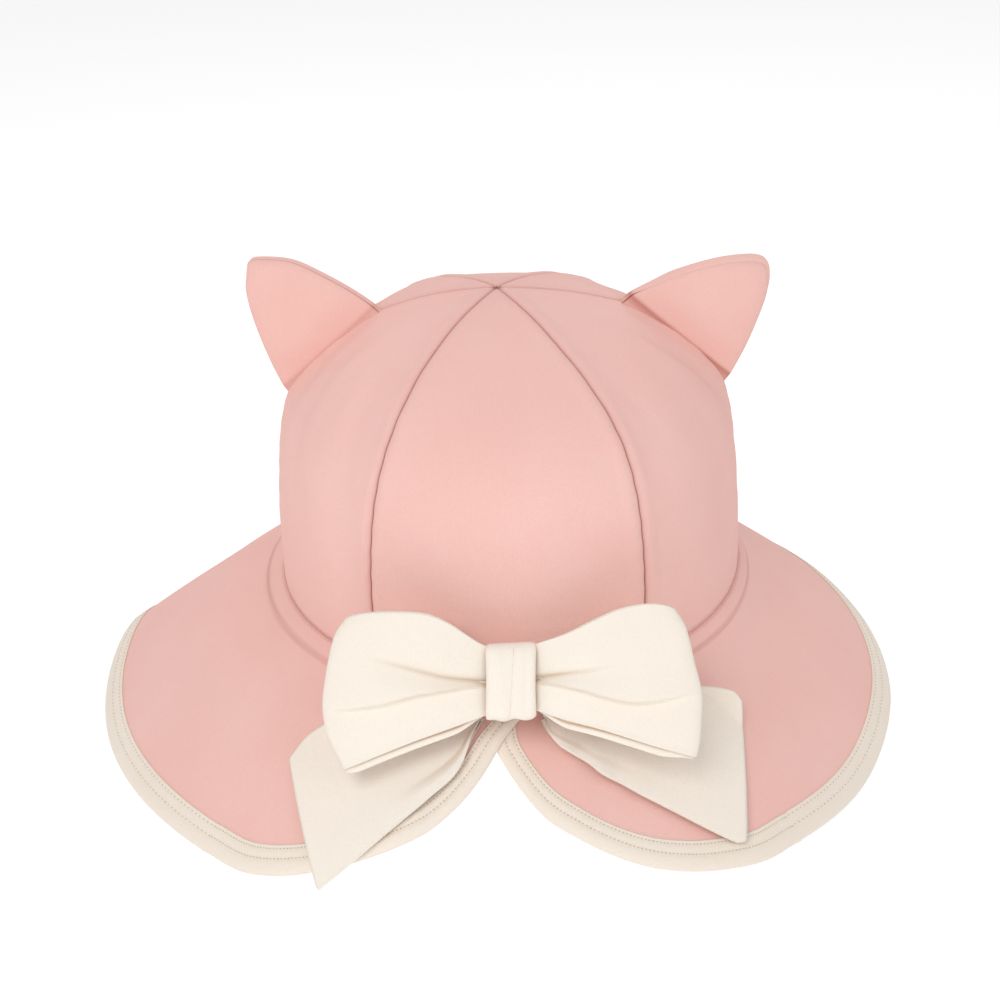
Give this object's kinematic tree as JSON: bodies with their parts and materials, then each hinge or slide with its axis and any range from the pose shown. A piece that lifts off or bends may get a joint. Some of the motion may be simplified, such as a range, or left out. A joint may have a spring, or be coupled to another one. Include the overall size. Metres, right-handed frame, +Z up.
{
  "type": "sun hat",
  "caption": "Child's cotton sun hat with a six-panel crown, stuffed cat ears, a wide soft bound brim split at the back, and a bow over the split.",
  "frame": {"origin": "centre of the head opening, in the plane of the seam between crown and brim", "axes": "+Z up through the crown's top, +Y towards the wearer's face, +X to the wearer's right as seen from behind the hat"},
  "size_m": [0.2824, 0.2951, 0.164],
  "materials": {
    "pink_cotton": "matt cotton twill, pale salmon pink",
    "cream_cotton": "matt cotton twill, cream",
    "lining_cotton": "plain-weave cotton, off-white",
    "inner_felt": "non-woven interlining or polyester filling, white",
    "elastic_weave": "woven elastic tape, off-white",
    "label_satin": "blank satin ribbon, white"
  },
  "bodies": {
    "crown": {"gore_back": "pink_cotton", "gore_back_right": "pink_cotton", "gore_front_right": "pink_cotton", "gore_front": "pink_cotton", "gore_front_left": "pink_cotton", "gore_back_left": "pink_cotton", "crown_lining": "lining_cotton", "sweatband": "cream_cotton", "back_elastic": "elastic_weave", "care_label": "label_satin", "brim_rear_upper": "pink_cotton", "brim_rear_interlining": "inner_felt", "brim_rear_underside": "pink_cotton", "binding_rear_left": "cream_cotton", "binding_rear_right": "cream_cotton", "binding_corner_left": "cream_cotton", "binding_corner_right": "cream_cotton", "bow_knot": "cream_cotton", "bow_core": "cream_cotton"},
    "front_brim": {"brim_front_upper": "pink_cotton", "brim_front_interlining": "inner_felt", "brim_front_underside": "pink_cotton", "binding_front": "cream_cotton"},
    "left_brim": {"brim_left_upper": "pink_cotton", "brim_left_interlining": "inner_felt", "brim_left_underside": "pink_cotton", "binding_left": "cream_cotton"},
    "right_brim": {"brim_right_upper": "pink_cotton", "brim_right_interlining": "inner_felt", "brim_right_underside": "pink_cotton", "binding_right": "cream_cotton"},
    "left_ear": {"ear_left_back": "pink_cotton", "ear_left_front": "pink_cotton", "ear_left_filling": "inner_felt"},
    "right_ear": {"ear_right_back": "pink_cotton", "ear_right_front": "pink_cotton", "ear_right_filling": "inner_felt"},
    "left_loop": {"bow_loop_left": "cream_cotton"},
    "right_loop": {"bow_loop_right": "cream_cotton"},
    "left_tail": {"bow_tail_left": "cream_cotton"},
    "right_tail": {"bow_tail_right": "cream_cotton"}
  },
  "joints": [
    {"name": "front_brim_fold", "type": "hinge", "parent": "crown", "child": "front_brim", "pos_m": [0, 0.104, -0.0091], "axis": [1, 0, 0], "range_deg": [0, 110]},
    {"name": "left_brim_fold", "type": "hinge", "parent": "crown", "child": "left_brim", "pos_m": [-0.11, 0, -0.0224], "axis": [0, 1, 0], "range_deg": [0, 110]},
    {"name": "right_brim_fold", "type": "hinge", "parent": "crown", "child": "right_brim", "pos_m": [0.11, 0, -0.0224], "axis": [0, -1, 0], "range_deg": [0, 110]},
    {"name": "left_ear_flop", "type": "hinge", "parent": "crown", "child": "left_ear", "pos_m": [-0.06798, 0.01238, 0.07605], "axis": [0.6415, -0.1168, 0.7582], "range_deg": [-35, 35], "stiffness_Nm_per_rad": 0.05},
    {"name": "right_ear_flop", "type": "hinge", "parent": "crown", "child": "right_ear", "pos_m": [0.06798, 0.01238, 0.07605], "axis": [0.6415, 0.1168, -0.7582], "range_deg": [-35, 35], "stiffness_Nm_per_rad": 0.05},
    {"name": "left_loop_lift", "type": "hinge", "parent": "crown", "child": "left_loop", "pos_m": [-0.0077, -0.11421, 0.0132], "axis": [0, 0.4384, 0.8988], "range_deg": [0, 35], "stiffness_Nm_per_rad": 0.03},
    {"name": "right_loop_lift", "type": "hinge", "parent": "crown", "child": "right_loop", "pos_m": [0.0077, -0.11421, 0.0132], "axis": [0, -0.4384, -0.8988], "range_deg": [0, 35], "stiffness_Nm_per_rad": 0.03},
    {"name": "left_tail_swing", "type": "hinge", "parent": "crown", "child": "left_tail", "pos_m": [-0.009, -0.1015, -0.0055], "axis": [0.201, 0.5523, -0.809], "range_deg": [-5, 20], "stiffness_Nm_per_rad": 0.05},
    {"name": "right_tail_swing", "type": "hinge", "parent": "crown", "child": "right_tail", "pos_m": [0.009, -0.1015, -0.0055], "axis": [0.201, -0.5523, 0.809], "range_deg": [-5, 10], "stiffness_Nm_per_rad": 0.05}
  ]
}
